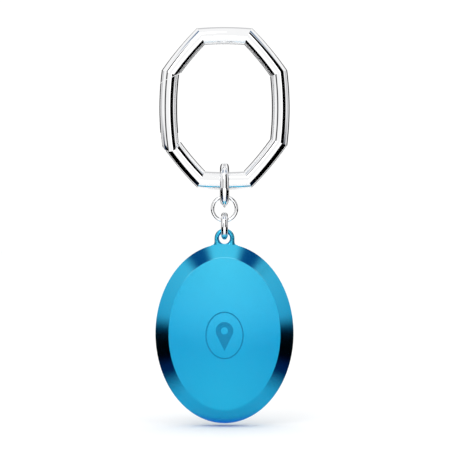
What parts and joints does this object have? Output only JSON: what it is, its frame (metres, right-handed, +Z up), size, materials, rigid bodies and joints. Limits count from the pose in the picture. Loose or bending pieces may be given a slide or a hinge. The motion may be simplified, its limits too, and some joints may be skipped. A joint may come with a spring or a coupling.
{
  "type": "bluetooth tracker tag",
  "caption": "Oval blue metal tracker tag hanging by links and a small ring from an eight-sided chrome carabiner ring with a sprung gate.",
  "frame": {"origin": "where a hook bears on the underside of the carabiner ring's top bar", "axes": "+Z up when hanging, -Y out of the back of the tag, +X to the right seen from the back"},
  "size_m": [0.033, 0.0095, 0.095],
  "materials": {
    "polished_chrome": "polished",
    "pin_steel": "satin",
    "spring_steel": "satin",
    "blue_metal": "gloss",
    "blue_crystal": "clear",
    "backing_film": "gloss",
    "black_plastic": "matte",
    "board_green": "gloss",
    "chip_black": "matte",
    "ceramic_white": "satin",
    "ceramic_tan": "satin",
    "contact_brass": "satin",
    "cell_steel": "satin",
    "gasket_rubber": "matte",
    "foam_black": "matte"
  },
  "bodies": {
    "ring": {"ring_frame": "polished_chrome", "gate_pivot_pin": "pin_steel"},
    "gate": {"gate_tube": "polished_chrome", "gate_tip_plug": "polished_chrome", "gate_spring": "spring_steel"},
    "plunger": {"gate_plunger": "black_plastic"},
    "top_link": {"upper_link": "polished_chrome"},
    "small_ring": {"middle_ring": "polished_chrome"},
    "bottom_link": {"lower_link": "polished_chrome"},
    "tag": {"back_shell": "blue_metal", "circuit_board": "board_green", "inner_tray": "black_plastic", "tray_screws": "pin_steel", "bluetooth_chip": "chip_black", "motion_sensor": "chip_black", "radio_crystal": "cell_steel", "clock_crystal": "cell_steel", "chip_antenna": "ceramic_white", "power_inductor": "chip_black", "capacitors": "ceramic_tan", "resistors": "chip_black", "buzzer_adhesive_ring": "gasket_rubber", "buzzer_brass_disc": "contact_brass", "buzzer_ceramic_disc": "ceramic_white", "buzzer_contacts": "contact_brass", "coin_cell_can": "cell_steel", "coin_cell_seal": "gasket_rubber", "coin_cell_cap": "cell_steel", "battery_plus_clip": "contact_brass", "battery_minus_leaf": "contact_brass", "sealing_gasket": "gasket_rubber"},
    "cover": {"front_carrier": "black_plastic", "front_bezel": "blue_metal", "crystal_window": "blue_crystal", "crystal_backing": "backing_film", "battery_foam_pad": "foam_black"}
  },
  "joints": [
    {"name": "gate_swing", "type": "hinge", "parent": "ring", "child": "gate", "pos_m": [-0.01301, 0, -0.0235], "axis": [0, 1, 0], "range_deg": [0, 30], "stiffness_Nm_per_rad": 0.02, "springref_deg": -28.65},
    {"name": "plunger_slide", "type": "slide", "parent": "gate", "child": "plunger", "axis": [0, 0, 1], "range_m": [0, 0.0007], "deforming": ["gate_spring"]},
    {"name": "upper_link_swing", "type": "hinge", "parent": "ring", "child": "top_link", "pos_m": [0, 0, -0.03265], "axis": [1, 0, 0], "range_deg": [-60, 60]},
    {"name": "middle_ring_swing", "type": "hinge", "parent": "top_link", "child": "small_ring", "pos_m": [0, 0, -0.03812], "axis": [0, 1, 0], "range_deg": [-40, 40]},
    {"name": "lower_link_swing", "type": "hinge", "parent": "small_ring", "child": "bottom_link", "pos_m": [0, 0, -0.04229], "axis": [1, 0, 0], "range_deg": [-25, 25]},
    {"name": "tag_swing", "type": "hinge", "parent": "bottom_link", "child": "tag", "pos_m": [0, 0, -0.04607], "axis": [0, 1, 0], "range_deg": [-40, 40]},
    {"name": "cover_lift", "type": "slide", "parent": "tag", "child": "cover", "axis": [0, 1, 0], "range_m": [0, 0.012]}
  ],
  "couplings": [
    {"joint": "plunger_slide", "follows": "gate_swing", "m_per_rad": 0.0011459}
  ]
}
